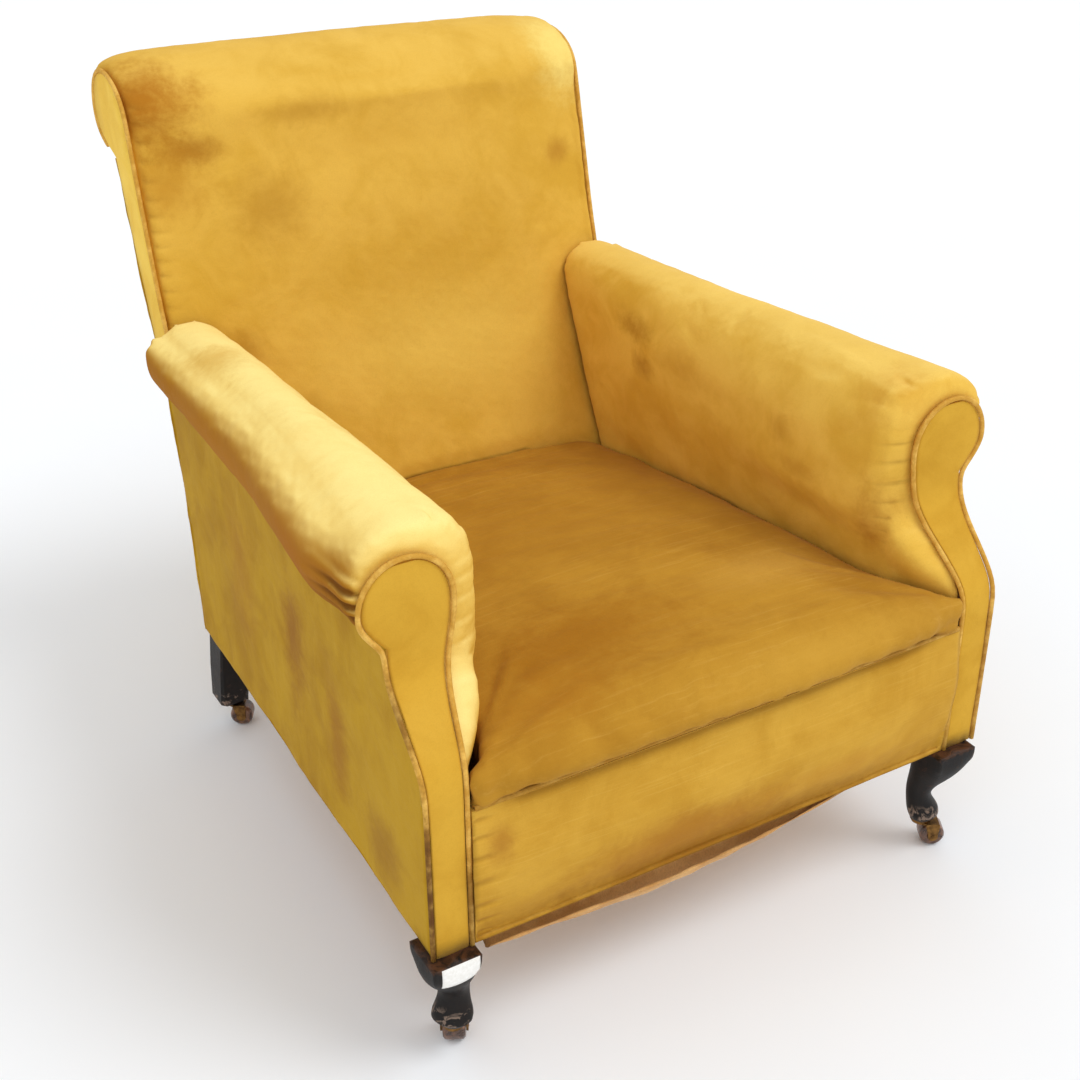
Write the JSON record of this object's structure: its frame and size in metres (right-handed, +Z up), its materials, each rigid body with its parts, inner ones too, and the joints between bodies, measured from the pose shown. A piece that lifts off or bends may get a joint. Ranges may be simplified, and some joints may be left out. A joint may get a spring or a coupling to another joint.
{
  "type": "armchair",
  "caption": "Low upholstered armchair with scrolled arms and rolled back in worn gold velvet, a sunken sprung seat, dark cabriole front legs and small castors.",
  "frame": {"origin": "on the floor, under the middle of the chair's box", "axes": "+Z up, -Y towards the way the sitter faces, +X to the right of the picture"},
  "size_m": [0.7506, 0.973, 0.8131],
  "materials": {
    "beech": "plain unfinished",
    "black_wood": "ebonised, worn to brown at its edges",
    "brass": "tarnished",
    "glazed_bowl": "dark polished wood",
    "hessian": "plain hessian",
    "lining": "tan lining cloth",
    "steel": "dull blackened wire",
    "velvet": "crushed, worn and stained gold velvet",
    "velvet_cord": "tan-orange covered cord",
    "velvet_seat": "browner, more soiled gold velvet",
    "webbing": "jute webbing"
  },
  "bodies": {
    "chair": {"arm_cord_left": "velvet_cord", "arm_cord_right": "velvet_cord", "arm_facing_left": "velvet", "arm_facing_right": "velvet", "arm_pad_left": "velvet", "arm_pad_right": "velvet", "arm_rail_left": "beech", "arm_rail_right": "beech", "arm_stuffing_rail_left": "beech", "arm_stuffing_rail_right": "beech", "arm_stump_left": "beech", "arm_stump_right": "beech", "back_cord_left": "velvet_cord", "back_cord_right": "velvet_cord", "back_facing_left": "velvet", "back_facing_right": "velvet", "back_pad": "velvet", "back_post_left": "black_wood", "back_post_right": "black_wood", "back_stuffing_rail": "beech", "back_top_rail": "beech", "back_webbing": "webbing", "bottom_cloth": "lining", "castor_plate_front_left": "brass", "castor_plate_front_right": "brass", "castor_plate_rear_left": "brass", "castor_plate_rear_right": "brass", "front_border": "velvet", "front_border_cord": "velvet_cord", "front_leg_left": "black_wood", "front_leg_right": "black_wood", "front_seat_rail": "beech", "outside_arm_left": "velvet", "outside_arm_right": "velvet", "outside_back": "velvet", "rear_seat_rail": "beech", "seat_pad": "velvet_seat", "seat_spring_1": "steel", "seat_spring_2": "steel", "seat_spring_3": "steel", "seat_spring_4": "steel", "seat_spring_5": "steel", "seat_spring_6": "steel", "seat_spring_7": "steel", "seat_spring_8": "steel", "seat_spring_9": "steel", "seat_webbing": "webbing", "side_seat_rail_left": "beech", "side_seat_rail_right": "beech", "spring_hessian": "hessian"},
    "horn_front_left": {"castor_horn_front_left": "brass"},
    "bowl_front_left": {"castor_bowl_front_left": "glazed_bowl"},
    "horn_front_right": {"castor_horn_front_right": "brass"},
    "bowl_front_right": {"castor_bowl_front_right": "glazed_bowl"},
    "horn_rear_left": {"castor_horn_rear_left": "brass"},
    "bowl_rear_left": {"castor_bowl_rear_left": "glazed_bowl"},
    "horn_rear_right": {"castor_horn_rear_right": "brass"},
    "bowl_rear_right": {"castor_bowl_rear_right": "glazed_bowl"}
  },
  "joints": [
    {"name": "swivel_front_left", "type": "hinge", "parent": "chair", "child": "horn_front_left", "pos_m": [-0.31624, -0.44821, 0.034], "axis": [0, 0, 1], "continuous": true},
    {"name": "roll_front_left", "type": "hinge", "parent": "horn_front_left", "child": "bowl_front_left", "pos_m": [-0.30921, -0.4361, 0.01438], "axis": [-0.8645, 0.5026, 0], "continuous": true},
    {"name": "swivel_front_right", "type": "hinge", "parent": "chair", "child": "horn_front_right", "pos_m": [0.30074, -0.44621, 0.034], "axis": [0, 0, 1], "continuous": true},
    {"name": "roll_front_right", "type": "hinge", "parent": "horn_front_right", "child": "bowl_front_right", "pos_m": [0.31285, -0.45324, 0.01438], "axis": [0.5026, 0.8645, 0], "continuous": true},
    {"name": "swivel_rear_left", "type": "hinge", "parent": "chair", "child": "horn_rear_left", "pos_m": [-0.306, 0.19454, 0.034], "axis": [0, 0, 1], "continuous": true},
    {"name": "roll_rear_left", "type": "hinge", "parent": "horn_rear_left", "child": "bowl_rear_left", "pos_m": [-0.29386, 0.18756, 0.01438], "axis": [0.4983, 0.867, 0], "continuous": true},
    {"name": "swivel_rear_right", "type": "hinge", "parent": "chair", "child": "horn_rear_right", "pos_m": [0.306, 0.19454, 0.034], "axis": [0, 0, 1], "continuous": true},
    {"name": "roll_rear_right", "type": "hinge", "parent": "horn_rear_right", "child": "bowl_rear_right", "pos_m": [0.3144, 0.20574, 0.01438], "axis": [-0.8, 0.6, 0], "continuous": true}
  ]
}
